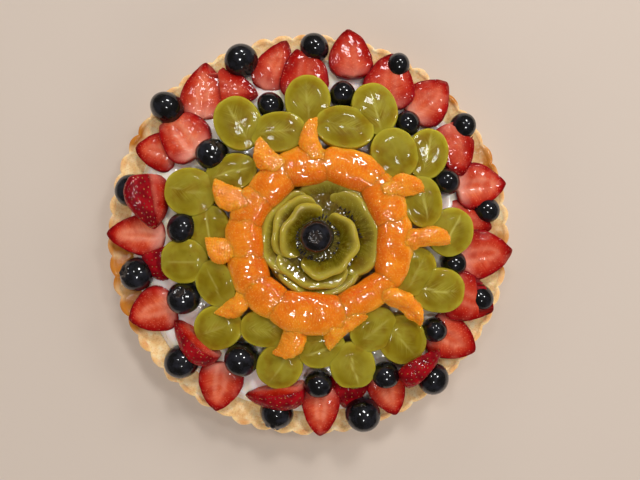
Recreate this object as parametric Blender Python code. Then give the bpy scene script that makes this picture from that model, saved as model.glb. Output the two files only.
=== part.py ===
"""A fruit tart: a fluted pastry case of cream under rings of fruit, with a kiwi rose in the middle.

Pieces are laid in order from the case up. A piece that would press into one already laid is
trimmed flat against it, so that neighbours meet face to face across a small gap.
"""

import math
from collections import namedtuple

import bmesh
import bpy
import numpy as np
from mathutils import Matrix, Vector

MM = 0.001
GAP = 0.3 * MM  # between neighbouring pieces

# Pastry case: radii are to the crests of its flutes
CASE_HEIGHT = 25 * MM
CASE_RADIUS = 115 * MM
CASE_FOOT_RADIUS = 107 * MM
CASE_FLOOR = 4 * MM
CASE_FOOT_WALL = 6 * MM
RIM_WIDTH = 4.5 * MM
RIM_SLOPE_RADIUS = 104.5 * MM  # where the rim's soft inner slope ends
RIM_SLOPE_HEIGHT = 20 * MM
FLUTES = 59
FLUTE_DEPTH = 1.9 * MM
INNER_FLUTE_DEPTH = 0.8 * MM
FLUTE_STEPS = 4

# Cream: height of its top at each distance from the axis
CREAM_TOP = (
    (103.5 * MM, 19.3 * MM),
    (97 * MM, 21 * MM),
    (75 * MM, 23.5 * MM),
    (48 * MM, 25 * MM),
)
CREAM_FOOT_RADIUS = 100 * MM
CREAM_SIDES = 40

# Fruit
BERRY_FLATTENING = 0.9  # height over width
BERRY_SIDES = 8
BERRY_LATITUDES = (-72, -38, 0, 38, 72)
STRAWBERRY_SHOULDER = 0.3  # where it is widest, along its length from the cap
STRAWBERRY_CAP = 0.55  # width of the cap end over the greatest width
STRAWBERRY_STATIONS = (0, 0.12, 0.3, 0.52, 0.74, 0.91, 1)
STRAWBERRY_ARC = 4  # facets round the skin
GRAPE_DEPTH = 0.46  # of a half grape, over its width
GRAPE_SIDES = 12
SEGMENT_STATIONS = (-1, -0.85, -0.5, 0, 0.5, 0.85, 1)

# Kiwi rose, a little off the tart's axis; its slices lean outwards
HEART = Vector((6 * MM, -3 * MM, 0))
SLICE_RADIUS = 27 * MM
SLICE_TAPER = 2 * MM
SLICE_BOTTOM = 25.4 * MM
SLICE_TOP = 40 * MM
SLICE_SIDES = 20
PETAL_FOOT_WIDTH = 6.5 * MM
PETAL_RIM_WIDTH = 3 * MM
PETAL_STEPS = 9
PETAL_END_HEIGHT = 0.45  # of its full height

# Trimming: a piece is probed at shares of the way from its middle to its corners
PROBE_SHARES = (0.3, 0.55, 0.8, 1)
TOP_COST = 6  # how much more its top is worth keeping than its underside
DIRECTIONS = 2500
WELD = 0.05 * MM

# Bearings and headings are in degrees, counter-clockwise from +X; the rest is in millimetres.
# A piece's middle lies at a bearing and distance from the axis, and its widest level at a height.
# dip lowers its outward side, in degrees, and roll turns it about its own length.
Berry = namedtuple("Berry", "bearing distance height radius")
OUTER_BERRIES = (
    Berry(8, 101, 27, 7.8),
    Berry(35, 105, 30, 7.4),
    Berry(62, 106, 30.5, 7.2),
    Berry(88, 104, 30.5, 8.3),
    Berry(111, 103, 31, 9.5),
    Berry(138, 104.5, 32, 9.4),
    Berry(166, 101.5, 28.5, 9.4),
    Berry(193, 98, 29, 9.7),
    Berry(225, 99.5, 29, 9.9),
    Berry(260, 101, 28.5, 9.6),
    Berry(287, 103.5, 32, 9.9),
    Berry(311, 105.5, 32, 8.9),
    Berry(340, 102.5, 27.5, 7.9),
)
INNER_BERRIES = (
    Berry(21, 80.5, 34.5, 8),
    Berry(48, 82, 34, 7.2),
    Berry(76, 79, 34, 7.3),
    Berry(106, 73.5, 34, 7.7),
    Berry(140, 68, 34.5, 9.5),
    Berry(177, 68.5, 34.5, 9.2),
    Berry(207, 76, 35, 9.2),
    Berry(242, 77, 35, 9.6),
    Berry(274, 82, 35, 8),
    Berry(299, 87.5, 35.5, 7.5),
    Berry(323, 86.5, 35, 7.2),
    Berry(349, 82, 32.5, 7.2),
)
CENTRE_BERRY = Berry(344, 5, 48.7, 9.2)

Strawberry = namedtuple("Strawberry", "bearing distance height heading length width depth dip roll")
STRAWBERRIES = (
    Strawberry(151, 97, 29.5, 172, 24, 23, 8, 2, 0),
    Strawberry(126, 99, 30.5, 86, 32, 27, 9, 3, 0),
    Strawberry(101, 96, 30.5, 66, 31, 22, 9, 3, 0),
    Strawberry(48, 101, 30.5, 45, 29, 27, 9, 3, 0),
    Strawberry(5, 90, 30, 342, 28, 21, 8, 4, 0),
    Strawberry(324, 99, 30.5, 332, 30, 27, 9, 3, 0),
    Strawberry(297, 99, 30.5, 288, 26, 22, 9, 4, 0),
    Strawberry(206, 97, 30, 200, 28, 27, 9, 4, 0),
    Strawberry(180, 96, 30, 178, 33, 24, 9, 1, 0),
    Strawberry(274, 98, 31.5, 269, 30, 22, 10, 5, 0),
    Strawberry(240, 98, 30.5, 260, 28, 26, 9, 4, 0),
    Strawberry(354, 99, 32, 7, 30, 28, 9, 3, 0),
    Strawberry(16, 100, 31.5, 4, 28, 26, 9, 2, 0),
    Strawberry(141, 90, 33, 130, 33, 29, 9, 5, 0),
    Strawberry(118, 91, 33, 346, 31, 22, 9, 5, 0),
    Strawberry(77, 103, 32.5, 94, 28, 25, 10, 3, 0),
    Strawberry(338, 96, 33, 336, 30, 28, 9, 4, 0),
    Strawberry(190, 86, 26, 182, 25, 23, 8, 3, 180),
    Strawberry(91, 90, 33.5, 86, 32, 28, 9, 4, 0),
    Strawberry(62, 96, 33.5, 83, 32, 30, 9, 4, 0),
    Strawberry(30, 94, 33.5, 284, 30, 24, 9, 5, 0),
    Strawberry(168, 88, 36, 281, 31, 25, 10, 0, -38),
    Strawberry(311, 93, 32.5, 33, 28, 23, 11, 0, -115),
    Strawberry(285, 89, 26, 270, 26, 23, 9, 3, 180),
    Strawberry(258, 87, 31, 190, 34, 24, 12, 0, 78),
    Strawberry(223, 83, 31, 141, 33, 24, 12, 0, 76),
)

Grape = namedtuple("Grape", "bearing distance height heading length width dip")
GRAPE_ARCS = (
    (
        Grape(1, 77.5, 38.5, 60, 27, 25, 7),
        Grape(34, 78, 39, 75, 28, 23, 7),
        Grape(62, 77, 39, 108, 29, 25, 8),
        Grape(90, 72.5, 39, 92, 29, 25, 8),
        Grape(122, 71, 39, 118, 31, 26, 8),
        Grape(16, 64, 41.5, 100, 28, 22, 7),
        Grape(43, 63.5, 42, 112, 28, 26, 8),
        Grape(71, 60.5, 42.5, 350, 32, 24, 9),
        Grape(106, 57, 42, 5, 30, 23, 8),
    ),
    (
        Grape(160, 68, 37.5, 350, 29, 27, 6),
        Grape(192, 68.5, 38, 0, 27, 25, 8),
        Grape(226, 70, 37.5, 20, 27, 25, 6),
        Grape(141, 53, 39.5, 15, 28, 21, 4),
        Grape(178, 52.5, 39, 100, 28, 23, 6),
        Grape(208, 56, 40.5, 118, 26, 22, 9),
    ),
    (
        Grape(258, 73, 37.5, 55, 26, 25, 7),
        Grape(289, 75, 38.5, 285, 27, 25, 8),
        Grape(312, 76.5, 38, 310, 28, 26, 8),
        Grape(245, 56, 40, 355, 26, 21, 8),
        Grape(277, 62, 40, 15, 26, 21, 7),
        Grape(305, 62, 41, 35, 27, 23, 8),
    ),
    (
        Grape(337, 77, 39, 355, 29, 25, 7),
        Grape(341, 61, 41.5, 60, 27, 23, 12),
    ),
)

# Mandarin segments: bearing and distance are from the rose's heart, and turn is from the tangent
Segment = namedtuple("Segment", "bearing distance height turn length width thickness dip blunt")
RING_SEGMENTS = (
    Segment(354, 41.5, 39.5, 4, 40, 18, 17, 6, False),
    Segment(30, 42, 39.5, -6, 34, 18, 17, 4, False),
    Segment(65, 42.5, 39.5, 6, 37, 18, 17, 6, False),
    Segment(101, 41.5, 39.5, -4, 32, 18, 17, 6, False),
    Segment(130, 40, 39.5, 4, 28, 17, 17, 4, False),
    Segment(155, 40.5, 39, -3, 28, 17, 17, 5, False),
    Segment(180, 41, 39.5, 5, 28, 18, 17, 5, False),
    Segment(204, 42, 39, -4, 30, 18, 17, 6, False),
    Segment(226, 42.5, 39, 4, 26, 17, 17, 7, False),
    Segment(309, 40, 40, -8, 40, 14, 16, 4, False),
    Segment(263, 40.5, 41, 2, 42, 20, 16, 4, False),
)
SPILLED_SEGMENTS = (
    Segment(123, 51, 45, 105, 20, 12, 10, 6, True),
    Segment(95, 52, 45, 98, 23, 11, 10, 6, True),
    Segment(33, 52, 45, 72, 24, 12, 10, 7, True),
    Segment(2, 55, 44.5, 96, 29, 11, 11, 6, False),
    Segment(324, 56, 44, 91, 31, 11, 11, 7, False),
    Segment(285, 46, 43, 205, 28, 13, 12, 2, False),
    Segment(256, 54.5, 42.5, 80, 24, 14, 10, 9, True),
    Segment(219, 54, 41.5, 94, 27, 11, 11, 8, False),
    Segment(187, 52, 43.5, 85, 17, 14, 11, 6, True),
    Segment(155, 51, 43.5, 96, 23, 13, 11, 5, True),
)

# Kiwi petals: start and end bearings and radii from the heart, radii at the inner face
Petal = namedtuple("Petal", "start end foot_radius rim_radius foot rim")
PETALS = (
    Petal(105, 228, 22, 28, 35, 46.5),
    Petal(208, 332, 22, 28.5, 35, 45.5),
    Petal(-50, 76, 19, 30, 36, 47.5),
    Petal(12, 116, 22.5, 31, 36, 46.5),
    Petal(93, 206, 17.5, 23.5, 37, 47.5),
    Petal(196, 318, 17.5, 24, 37, 46.5),
    Petal(82, 218, 13, 18, 38, 48.5),
    Petal(-130, 66, 12.5, 18, 38, 49.5),
)

# Colour, roughness
PASTRY = ((0.72, 0.46, 0.2), 0.75)
CREAM = ((0.9, 0.78, 0.7), 0.5)
BLUEBERRY = ((0.02, 0.025, 0.05), 0.35)
STRAWBERRY = ((0.62, 0.05, 0.03), 0.3)
GRAPE = ((0.5, 0.5, 0.1), 0.25)
MANDARIN = ((0.95, 0.32, 0.02), 0.25)
KIWI = ((0.34, 0.4, 0.05), 0.3)


def clear_scene():
    for obj in list(bpy.data.objects):
        bpy.data.objects.remove(obj)


def material(name, look):
    colour, roughness = look
    made = bpy.data.materials.new(name)
    made.use_nodes = True
    shader = made.node_tree.nodes["Principled BSDF"]
    shader.inputs["Base Color"].default_value = (*colour, 1)
    shader.inputs["Roughness"].default_value = roughness
    shader.inputs["Metallic"].default_value = 0
    return made


def polar(bearing, distance, height=0.0):
    angle = math.radians(bearing)
    return Vector((distance * math.cos(angle), distance * math.sin(angle), height))


def turned(degrees, axis):
    return Matrix.Rotation(math.radians(degrees), 4, axis)


def placement(middle, outward, dip, heading, roll=0):
    """Where a piece lies: its length points to the heading, and its outward side dips."""
    lie = turned(outward, "Z") @ turned(dip, "Y") @ turned(heading - outward, "Z")
    return Matrix.Translation(middle) @ lie @ turned(roll, "X")


def hull(points):
    """Closed convex shape round the points, with flat faces in one piece."""
    shape = bmesh.new()
    for point in points:
        shape.verts.new(point)
    bmesh.ops.convex_hull(shape, input=shape.verts[:])
    inside = [vert for vert in shape.verts if not vert.link_faces]
    bmesh.ops.delete(shape, geom=inside, context="VERTS")
    bmesh.ops.dissolve_limit(shape, angle_limit=0.002, verts=shape.verts[:], edges=shape.edges[:])
    return shape


def corners(shape):
    return np.array([vert.co for vert in shape.verts])


# --- trimming -------------------------------------------------------------------------------


def upward_directions(count):
    """Unit vectors spread evenly over the upper half of a sphere."""
    index = np.arange(count)
    height = (index + 0.5) / count
    spread = np.sqrt(1 - height**2)
    angle = index * math.pi * (3 - math.sqrt(5))
    return np.stack([spread * np.cos(angle), spread * np.sin(angle), height], axis=1)


class Pile:
    """The convex pieces laid so far, each as its middle, size and reach in every direction."""

    def __init__(self):
        self.directions = upward_directions(DIRECTIONS)
        self.laid = []

    def add(self, points):
        middle = points.mean(axis=0)
        size = np.linalg.norm(points - middle, axis=1).max()
        self.laid.append((middle, size, (points @ self.directions.T).max(axis=0)))

    def fit(self, shape, ignore=()):
        """The new shape, trimmed flat against each laid piece that it would press into."""
        for index, (middle, size, reach) in enumerate(self.laid):
            points = corners(shape)
            if index in ignore or np.linalg.norm(points - middle, axis=1).min() > 2 * size:
                continue
            clearance = (points @ self.directions.T).min(axis=0) - reach
            if clearance.max() >= GAP:
                continue
            best = (self.loss(points, reach) - clearance).argmin()
            normal = Vector(self.directions[best])
            shape = trimmed(shape, normal * (reach[best] + GAP), -normal)
        return shape

    def loss(self, points, reach):
        """What a piece would lose to a cut square to each direction, above all at its top."""
        middle = points.mean(axis=0)
        probes = np.concatenate([middle + share * (points - middle) for share in PROBE_SHARES])
        height = (probes[:, 2] - probes[:, 2].min()) / np.ptp(probes[:, 2])
        worth = 1 + TOP_COST * height**2
        return worth @ (probes @ self.directions.T < reach + GAP)


def trimmed(shape, point, normal):
    """The convex shape without what lies past a plane."""
    everything = shape.verts[:] + shape.edges[:] + shape.faces[:]
    bmesh.ops.bisect_plane(
        shape, geom=everything, plane_co=point, plane_no=normal, clear_outer=True, dist=1e-6
    )
    bmesh.ops.remove_doubles(shape, verts=shape.verts[:], dist=WELD)
    points = [vert.co.copy() for vert in shape.verts]
    shape.free()
    return hull(points)


# --- making objects -------------------------------------------------------------------------


def put(name, shape, where, finish, smooth=True):
    """Object of a shape given in the tart's frame, with its own origin and turn."""
    shape.transform(where.inverted())
    bmesh.ops.recalc_face_normals(shape, faces=shape.faces[:])
    if shape.calc_volume(signed=True) < 0:
        bmesh.ops.reverse_faces(shape, faces=shape.faces[:])
    mesh = bpy.data.meshes.new(name)
    shape.to_mesh(mesh)
    shape.free()
    if smooth:
        mesh.shade_smooth()
        mesh.set_sharp_from_angle(angle=math.radians(50))
    mesh.materials.append(finish)
    obj = bpy.data.objects.new(name, mesh)
    obj.matrix_world = where
    bpy.context.scene.collection.objects.link(obj)
    return obj


def unite(name, members, finish):
    """One object of pieces that grow together: the first, joined by a Boolean to the rest."""
    first, *others = [
        put(f"{name}_piece_{number}" if number else name, shape, where, finish)
        for number, (shape, where) in enumerate(members)
    ]
    joined = bpy.data.collections.new(f"{name}_pieces")
    bpy.context.scene.collection.children.link(joined)
    for other in others:
        bpy.context.scene.collection.objects.unlink(other)
        joined.objects.link(other)
        other.hide_render = True
        other.display_type = "WIRE"
    union = first.modifiers.new("Union", "BOOLEAN")
    union.operation = "UNION"
    union.operand_type = "COLLECTION"
    union.collection = joined
    return first


# --- shapes of the fruit, each about its own middle -----------------------------------------


def berry_points(radius):
    """Flattened ball whose flat top is its crown."""
    points = []
    for latitude in map(math.radians, BERRY_LATITUDES):
        for side in range(BERRY_SIDES):
            angle = math.tau * side / BERRY_SIDES
            ring = radius * math.cos(latitude)
            height = radius * BERRY_FLATTENING * math.sin(latitude)
            points.append(Vector((ring * math.cos(angle), ring * math.sin(angle), height)))
    return points


def strawberry_width(along):
    """Width at a place along the fruit, from 0 at the cap to 1 at the tip, over the greatest."""
    if along < STRAWBERRY_SHOULDER:
        back = (STRAWBERRY_SHOULDER - along) / STRAWBERRY_SHOULDER
        return 1 - (1 - STRAWBERRY_CAP) * back**2
    ahead = (along - STRAWBERRY_SHOULDER) / (1 - STRAWBERRY_SHOULDER)
    return (1 - ahead**1.7) ** 0.8


def strawberry_points(length, width, depth):
    """Half a strawberry: flat cut face up, skin below, tip to +X."""
    points = []
    for along in STRAWBERRY_STATIONS:
        share = max(strawberry_width(along), 0.04)
        for facet in range(STRAWBERRY_ARC + 1):
            angle = math.pi * facet / STRAWBERRY_ARC
            across = share * width / 2 * math.cos(angle)
            height = -share * depth * math.sin(angle)
            points.append(Vector(((along - 0.5) * length, across, height)))
    return points


def grape_points(length, width):
    """Half a grape: flat cut face up, skin below."""
    points = [Vector((0, 0, -GRAPE_DEPTH * width))]
    for latitude, sides in ((0, GRAPE_SIDES), (32, GRAPE_SIDES - 3), (62, GRAPE_SIDES - 6)):
        ring = math.cos(math.radians(latitude))
        height = -GRAPE_DEPTH * width * math.sin(math.radians(latitude))
        for side in range(sides):
            angle = math.tau * side / sides
            across = width / 2 * ring * math.sin(angle)
            points.append(Vector((length / 2 * ring * math.cos(angle), across, height)))
    return points


def segment_points(length, width, thickness, blunt):
    """Mandarin segment: straight thin edge at -Y, round thick back at +Y; a blunt one is torn."""
    points = []
    for along in SEGMENT_STATIONS:
        share = max(math.sqrt(1 - along**2), 0.18)
        if blunt and along < 0:
            share = 1 - 0.25 * along**2
        edge = -width / 2
        back = edge + share * width
        belly = edge + 0.6 * share * width
        points.append(Vector((along * length / 2, edge, 0)))
        for side in (-1, 1):
            points.append(Vector((along * length / 2, belly, side * share * thickness / 2)))
            points.append(Vector((along * length / 2, back, side * share * thickness / 5)))
    return points


# --- sub-parts ------------------------------------------------------------------------------


def case_column(angle):
    """Foot, rim, slope and inner foot of the case's wall at an angle, from outside to inside."""
    hollow = 1 - abs(math.cos(FLUTES * angle / 2))
    rim = CASE_RADIUS - FLUTE_DEPTH * hollow
    foot = CASE_FOOT_RADIUS - FLUTE_DEPTH * hollow
    inner = CASE_RADIUS - RIM_WIDTH - INNER_FLUTE_DEPTH * hollow
    bearing = math.degrees(angle)
    return (
        polar(bearing, foot, 0),
        polar(bearing, rim, CASE_HEIGHT),
        polar(bearing, inner, CASE_HEIGHT),
        polar(bearing, RIM_SLOPE_RADIUS, RIM_SLOPE_HEIGHT),
        polar(bearing, CASE_FOOT_RADIUS - CASE_FOOT_WALL, CASE_FLOOR),
    )


def skinned(loops):
    """Closed shape through loops of points, one after the other, with flat ends."""
    shape = bmesh.new()
    rings = [[shape.verts.new(point) for point in loop] for loop in loops]
    for near, far in zip(rings, rings[1:]):
        for index in range(len(near)):
            after = (index + 1) % len(near)
            shape.faces.new((near[index], near[after], far[after], far[index]))
    shape.faces.new(rings[0])
    shape.faces.new(rings[-1])
    bmesh.ops.recalc_face_normals(shape, faces=shape.faces[:])
    return shape


def make_case(pile):
    """The case, which joins the pile flute by flute."""
    count = FLUTES * FLUTE_STEPS
    columns = [case_column(math.tau * step / count) for step in range(count)]
    for notch in range(FLUTE_STEPS // 2, count, FLUTE_STEPS):
        block = [columns[(notch + step) % count] for step in range(FLUTE_STEPS + 1)]
        pile.add(np.array([point for column in block for point in column]))
    put("pastry_case", skinned(list(zip(*columns))), Matrix(), material("pastry", PASTRY))


def make_cream(pile):
    """Cream that fills the case to just under its rim and rises to the middle."""
    rows = [(CREAM_FOOT_RADIUS, CASE_FLOOR + GAP), *CREAM_TOP]
    bearings = [360 * side / CREAM_SIDES for side in range(CREAM_SIDES)]
    shape = skinned([[polar(b, radius, height) for b in bearings] for radius, height in rows])
    pile.add(corners(shape))
    put("cream", shape, Matrix(), material("cream", CREAM))


def lay(pile, points, where):
    """Shape of the points in their place, trimmed against the pile, which it joins."""
    shape = pile.fit(hull([where @ point for point in points]))
    pile.add(corners(shape))
    return shape


def make_berries(pile, name, berries, finish):
    for number, berry in enumerate(berries, 1):
        middle = polar(berry.bearing, berry.distance, berry.height) * MM
        where = placement(middle, berry.bearing, 8, berry.bearing)
        shape = lay(pile, berry_points(berry.radius * MM), where)
        put(f"{name}_{number:02d}", shape, where, finish)


def make_strawberries(pile):
    finish = material("strawberry", STRAWBERRY)
    for number, fruit in enumerate(STRAWBERRIES, 1):
        middle = polar(fruit.bearing, fruit.distance, fruit.height) * MM
        where = placement(middle, fruit.bearing, fruit.dip, fruit.heading, fruit.roll)
        points = strawberry_points(fruit.length * MM, fruit.width * MM, fruit.depth * MM)
        put(f"strawberry_{number:02d}", lay(pile, points, where), where, finish)


def make_grapes(pile):
    """Grape halves that overlap in arcs round the ring; each arc is one piece."""
    finish = material("grape", GRAPE)
    for number, arc in enumerate(GRAPE_ARCS, 1):
        below = len(pile.laid)
        members = []
        for grape in arc:
            middle = polar(grape.bearing, grape.distance, grape.height) * MM
            where = placement(middle, grape.bearing, grape.dip, grape.heading)
            points = [where @ point for point in grape_points(grape.length * MM, grape.width * MM)]
            shape = pile.fit(hull(points), ignore=range(below, below + len(members)))
            pile.add(corners(shape))
            members.append((shape, where))
        unite(f"grapes_{number}", members, finish)


def petal_shape(petal):
    """Bent kiwi slice: a wall that follows an arc, leans outwards and falls away to its ends."""
    sections = []
    for step in range(PETAL_STEPS):
        across = 2 * step / (PETAL_STEPS - 1) - 1
        bearing = petal.start + (petal.end - petal.start) * (across + 1) / 2
        fall = 1 - math.sqrt(1 - abs(across) ** 2.5)
        share = 1 - (1 - PETAL_END_HEIGHT) * fall
        rim = petal.foot + (petal.rim - petal.foot) * share
        lean = (petal.rim_radius - petal.foot_radius) * share
        profile = (
            (petal.foot_radius * MM, petal.foot * MM),
            (petal.foot_radius * MM + PETAL_FOOT_WIDTH, petal.foot * MM),
            ((petal.foot_radius + lean) * MM + PETAL_RIM_WIDTH, (rim - 1) * MM),
            ((petal.foot_radius + lean) * MM, rim * MM),
        )
        sections.append([HEART + polar(bearing, radius, height) for radius, height in profile])
    return skinned(sections)


def make_rose(pile):
    """Kiwi rose: whole slices as its heart, with bent slices nested round it."""
    rows = []
    for radius, height in ((SLICE_RADIUS - SLICE_TAPER, SLICE_BOTTOM), (SLICE_RADIUS, SLICE_TOP)):
        bearings = [360 * side / SLICE_SIDES for side in range(SLICE_SIDES)]
        rows.append([HEART + polar(bearing, radius, height) for bearing in bearings])
    shapes = [skinned(rows), *map(petal_shape, PETALS)]
    pile.add(np.concatenate([corners(shape) for shape in shapes]))
    where = Matrix.Translation(HEART + Vector((0, 0, SLICE_BOTTOM)))
    unite("kiwi_rose", [(shape, where) for shape in shapes], material("kiwi", KIWI))


def make_mandarins(pile):
    """Mandarin segments round the rose, and others that point outwards over the grapes."""
    below = len(pile.laid)
    members = []
    for segment in RING_SEGMENTS + SPILLED_SEGMENTS:
        middle = HEART + polar(segment.bearing, segment.distance, segment.height) * MM
        heading = segment.bearing - 90 + segment.turn
        where = placement(middle, segment.bearing, segment.dip, heading)
        size = (segment.length * MM, segment.width * MM, segment.thickness * MM)
        points = [where @ point for point in segment_points(*size, segment.blunt)]
        shape = pile.fit(hull(points), ignore=range(below, below + len(members)))
        pile.add(corners(shape))
        members.append((shape, where))
    unite("mandarins", members, material("mandarin", MANDARIN))


def make_centre_berry(finish):
    berry = CENTRE_BERRY
    where = placement(polar(berry.bearing, berry.distance, berry.height) * MM, 0, 0, 0)
    shape = hull([where @ point for point in berry_points(berry.radius * MM)])
    put("blueberry_centre", shape, where, finish)


def main():
    clear_scene()
    pile = Pile()
    blueberry = material("blueberry", BLUEBERRY)
    make_case(pile)
    make_cream(pile)
    make_berries(pile, "blueberry_outer", OUTER_BERRIES, blueberry)
    make_strawberries(pile)
    make_berries(pile, "blueberry_inner", INNER_BERRIES, blueberry)
    make_grapes(pile)
    make_rose(pile)
    make_mandarins(pile)
    make_centre_berry(blueberry)


main()
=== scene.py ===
"""Looks of a fruit tart: a crumbly fluted case, cream, and rings of glazed fruit round a kiwi rose.

Lengths are in millimetres and angles in degrees until a piece is made, but for the studio's. The
rows of fruit repeat the solids' own, and most fruit is pressed into the shape of its solid.
"""

import itertools
import math
from collections import namedtuple

import bpy
import numpy as np
from mathutils import Matrix, Vector
from mathutils.bvhtree import BVHTree


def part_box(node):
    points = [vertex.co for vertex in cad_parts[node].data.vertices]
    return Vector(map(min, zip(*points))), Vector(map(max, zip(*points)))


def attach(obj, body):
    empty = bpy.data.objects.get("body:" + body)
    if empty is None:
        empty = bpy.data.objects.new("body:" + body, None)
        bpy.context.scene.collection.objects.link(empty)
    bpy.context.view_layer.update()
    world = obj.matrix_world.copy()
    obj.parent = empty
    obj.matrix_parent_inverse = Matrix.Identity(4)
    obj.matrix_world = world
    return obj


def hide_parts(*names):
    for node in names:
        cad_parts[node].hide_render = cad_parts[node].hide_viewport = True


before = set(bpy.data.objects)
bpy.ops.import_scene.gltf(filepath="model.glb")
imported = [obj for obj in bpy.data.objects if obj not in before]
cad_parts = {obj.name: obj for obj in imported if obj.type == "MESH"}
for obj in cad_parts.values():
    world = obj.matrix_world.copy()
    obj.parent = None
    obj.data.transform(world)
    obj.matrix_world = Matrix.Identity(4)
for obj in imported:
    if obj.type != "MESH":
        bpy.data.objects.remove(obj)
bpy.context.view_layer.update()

MM = 0.001
LATTICE = 32

# Pastry case, from its solid's box
CASE_BOX = [[value / MM for value in corner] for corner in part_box("pastry_case")]
CASE_RADIUS = CASE_BOX[1][0]
CASE_HEIGHT = CASE_BOX[1][2]
CASE_FOOT_RADIUS = CASE_RADIUS - 8
CASE_FLOOR = 4
RIM_WIDTH = 4.5
RIM_FLATNESS = 2.6
FOOT_ROUND = 1.2
CRUST_REACH = 99.5
CRUST_REACH_HEIGHT = 20.8
CRUST_LEAN = 3.5
FLUTES = 59
FLUTE_DEPTH = 2.6
INNER_FLUTE_DEPTH = 0.8
FLUTE_STEPS = 12

# Glaze that ran onto the rim: bearing, spread and lowest level
POOLS = ((193, 15, 14), (204, 5, 17), (20, 8, 21), (45, 4, 22), (355, 6, 21), (62, 3, 23), (150, 4, 22.5))

# Cream: radius and height of its foot, then of its top from the axis out
CREAM_FOOT = (100, 4.4)
CREAM_TOP = ((0, 25), (48, 25), (75, 23.5), (97, 21), (103.5, 19.3))
CREAM_RISE = 7
CREAM_ROWS = 60
CREAM_STEPS = 260

# Kiwi rose
HEART = Vector((6, -3, 0))
SLICE_BOTTOM = 25.4
SLICE_TOP = 40
SLICE_RADIUS = 31
KIWI_RADIUS = 23
SLICE_ROWS = 50
PETAL_END_HEIGHT = 0.45
PETAL_THICKNESS = 3.8
PETAL_CURL = 1.8
PETAL_SPREAD = 2.5
PETAL_COLUMNS = 110
SEEDED_PETALS = (3, 4, 6)
PIP_SIZE = (1.6, 0.64, 0.45)

Berry = namedtuple("Berry", "bearing distance height radius")
OUTER_BERRIES = (
    Berry(8, 101, 27, 7.8),
    Berry(35, 105, 30, 7.4),
    Berry(62, 106, 30.5, 7.2),
    Berry(88, 104, 30.5, 8.3),
    Berry(111, 103, 31, 9.5),
    Berry(138, 104.5, 32, 9.4),
    Berry(166, 101.5, 28.5, 9.4),
    Berry(193, 98, 29, 9.7),
    Berry(225, 99.5, 29, 9.9),
    Berry(260, 101, 28.5, 9.6),
    Berry(287, 103.5, 32, 9.9),
    Berry(311, 105.5, 32, 8.9),
    Berry(340, 102.5, 27.5, 7.9),
)
INNER_BERRIES = (
    Berry(21, 80.5, 34.5, 8),
    Berry(48, 82, 34, 7.2),
    Berry(76, 79, 34, 7.3),
    Berry(106, 73.5, 34, 7.7),
    Berry(140, 68, 34.5, 9.5),
    Berry(177, 68.5, 34.5, 9.2),
    Berry(207, 76, 35, 9.2),
    Berry(242, 77, 35, 9.6),
    Berry(274, 82, 35, 8),
    Berry(299, 87.5, 35.5, 7.5),
    Berry(323, 86.5, 35, 7.2),
    Berry(349, 82, 32.5, 7.2),
)
CENTRE_BERRY = Berry(344, 5, 48.7, 9.2)
BERRY_FLATTENING = 0.9

# Where the crowns that show point: turn from the vertical, and bearing
CROWNS = {
    "blueberry_outer_05": (62, 300),
    "blueberry_outer_08": (38, 160),
    "blueberry_outer_10": (66, 250),
    "blueberry_inner_05": (48, 60),
    "blueberry_inner_07": (30, 100),
    "blueberry_centre": (5, 200),
}

Strawberry = namedtuple("Strawberry", "bearing distance height heading length width depth dip roll pale")
STRAWBERRIES = (
    Strawberry(151, 97, 29.5, 172, 24, 23, 8, 2, 0, 0.5),
    Strawberry(126, 99, 30.5, 86, 32, 27, 9, 3, 0, 0.7),
    Strawberry(101, 96, 30.5, 66, 31, 22, 9, 3, 0, 0.4),
    Strawberry(48, 101, 30.5, 45, 29, 27, 9, 3, 0, 0.7),
    Strawberry(5, 90, 30, 342, 28, 21, 8, 4, 0, 0.5),
    Strawberry(324, 99, 30.5, 332, 30, 27, 9, 3, 0, 0.7),
    Strawberry(297, 99, 30.5, 288, 26, 22, 9, 4, 0, 0.6),
    Strawberry(206, 97, 30, 200, 28, 27, 9, 4, 0, 0.7),
    Strawberry(180, 96, 30, 178, 33, 24, 9, 1, 0, 1),
    Strawberry(274, 98, 31.5, 269, 30, 22, 10, 5, 0, 0.7),
    Strawberry(240, 98, 30.5, 260, 28, 26, 9, 4, 0, 0.7),
    Strawberry(354, 99, 32, 7, 30, 28, 9, 3, 0, 0.6),
    Strawberry(16, 100, 31.5, 4, 28, 26, 9, 2, 0, 0.9),
    Strawberry(141, 90, 33, 130, 33, 29, 9, 5, 0, 1),
    Strawberry(118, 91, 33, 346, 31, 22, 9, 5, 0, 0.3),
    Strawberry(77, 103, 32.5, 94, 28, 25, 10, 3, 0, 0.3),
    Strawberry(338, 96, 33, 336, 30, 28, 9, 4, 0, 0.4),
    Strawberry(190, 86, 26, 182, 25, 23, 8, 3, 180, 0.2),
    Strawberry(91, 90, 33.5, 86, 32, 28, 9, 4, 0, 0.3),
    Strawberry(62, 96, 33.5, 83, 32, 30, 9, 4, 0, 0.4),
    Strawberry(30, 94, 33.5, 284, 30, 24, 9, 5, 0, 0.3),
    Strawberry(168, 88, 36, 281, 31, 25, 10, 0, -38, 0.4),
    Strawberry(311, 93, 32.5, 33, 28, 23, 11, 0, -115, 0.3),
    Strawberry(285, 89, 26, 270, 26, 23, 9, 3, 180, 0.2),
    Strawberry(258, 87, 31, 190, 34, 24, 12, 0, 78, 0.5),
    Strawberry(223, 83, 31, 141, 33, 24, 12, 0, 76, 0.5),
)
# Share of the cut side over which the skin laps, where a fruit was cut off centre
LAPPED = {22: 0.5}
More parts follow.
